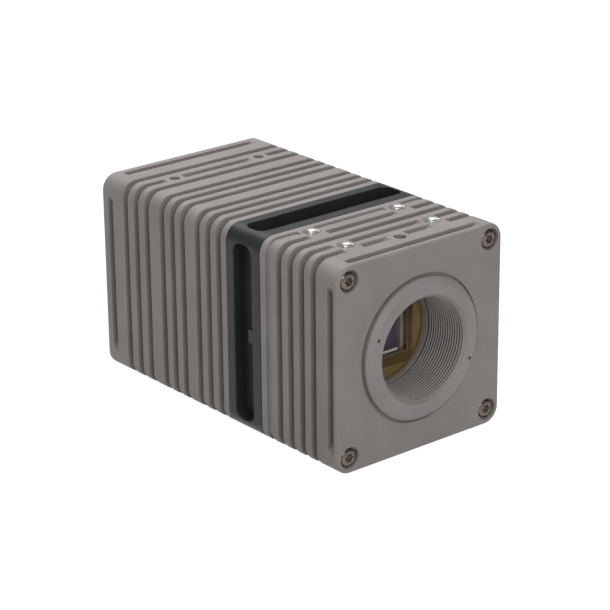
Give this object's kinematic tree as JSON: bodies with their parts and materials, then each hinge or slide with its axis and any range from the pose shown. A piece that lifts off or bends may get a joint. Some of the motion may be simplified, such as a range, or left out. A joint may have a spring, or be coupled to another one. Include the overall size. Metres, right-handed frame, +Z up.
{
  "type": "shortwave infrared camera",
  "caption": "Block-shaped shortwave infrared camera with grooved aluminium housings, a threaded lens mount, a cooled detector behind it, circuit boards and rear sockets.",
  "frame": {"origin": "under the middle of the whole camera, on the surface it stands on", "axes": "-Y out of the lens mount, +Y towards the sockets, +Z up through the top face with the lock screw, +X to the right as one looks at the lens mount"},
  "size_m": [0.05, 0.097, 0.05],
  "materials": {
    "housing_anodised": "bead blasted and anodised warm grey",
    "ring_anodised": "turned and anodised warm grey",
    "frame_anodised": "bead blasted and anodised dark grey",
    "stainless_steel": "bright stainless steel",
    "insert_steel": "bright stainless steel",
    "black_steel": "black oxide",
    "gold_plate": "gold plated",
    "window_glass": "polished, coated",
    "detector_die": "polished dark violet",
    "alumina": "fired, matte",
    "seal_rubber": "soft matte",
    "plain_aluminium": "milled",
    "circuit_board": "green solder mask",
    "standoff_brass": "turned",
    "moulded_black": "moulded",
    "nickel_plate": "nickel plated",
    "light_pipe": "clear moulded"
  },
  "bodies": {
    "root": {"front_housing": "housing_anodised", "mount_ring": "ring_anodised", "ring_lock_screw": "black_steel", "front_screws": "stainless_steel", "top_inserts": "insert_steel", "bottom_inserts": "insert_steel", "spacer_frame": "frame_anodised", "rear_housing": "housing_anodised", "sensor_package": "gold_plate", "package_lid": "gold_plate", "sensor_window": "window_glass", "sensor_chip": "detector_die", "bond_carrier": "alumina", "thermoelectric_cooler": "alumina", "package_seal": "seal_rubber", "package_pins": "gold_plate", "thermal_pad": "seal_rubber", "heat_spreader": "plain_aluminium", "sensor_board": "circuit_board", "processor_board": "circuit_board", "power_board": "circuit_board", "interface_board": "circuit_board", "sensor_standoffs": "standoff_brass", "processor_standoffs": "standoff_brass", "power_standoffs": "standoff_brass", "interface_standoffs": "standoff_brass", "board_plugs": "moulded_black", "board_sockets": "moulded_black", "sensor_board_chips": "moulded_black", "processor_board_chips": "moulded_black", "power_board_parts": "moulded_black", "interface_board_parts": "moulded_black", "rear_cover": "housing_anodised", "rear_screws": "stainless_steel", "jack_shield": "nickel_plate", "jack_housing": "moulded_black", "jack_contacts": "gold_plate", "io_shell": "nickel_plate", "io_nut": "nickel_plate", "io_insert": "moulded_black", "io_pins": "gold_plate", "status_light": "light_pipe"}
  },
  "joints": []
}
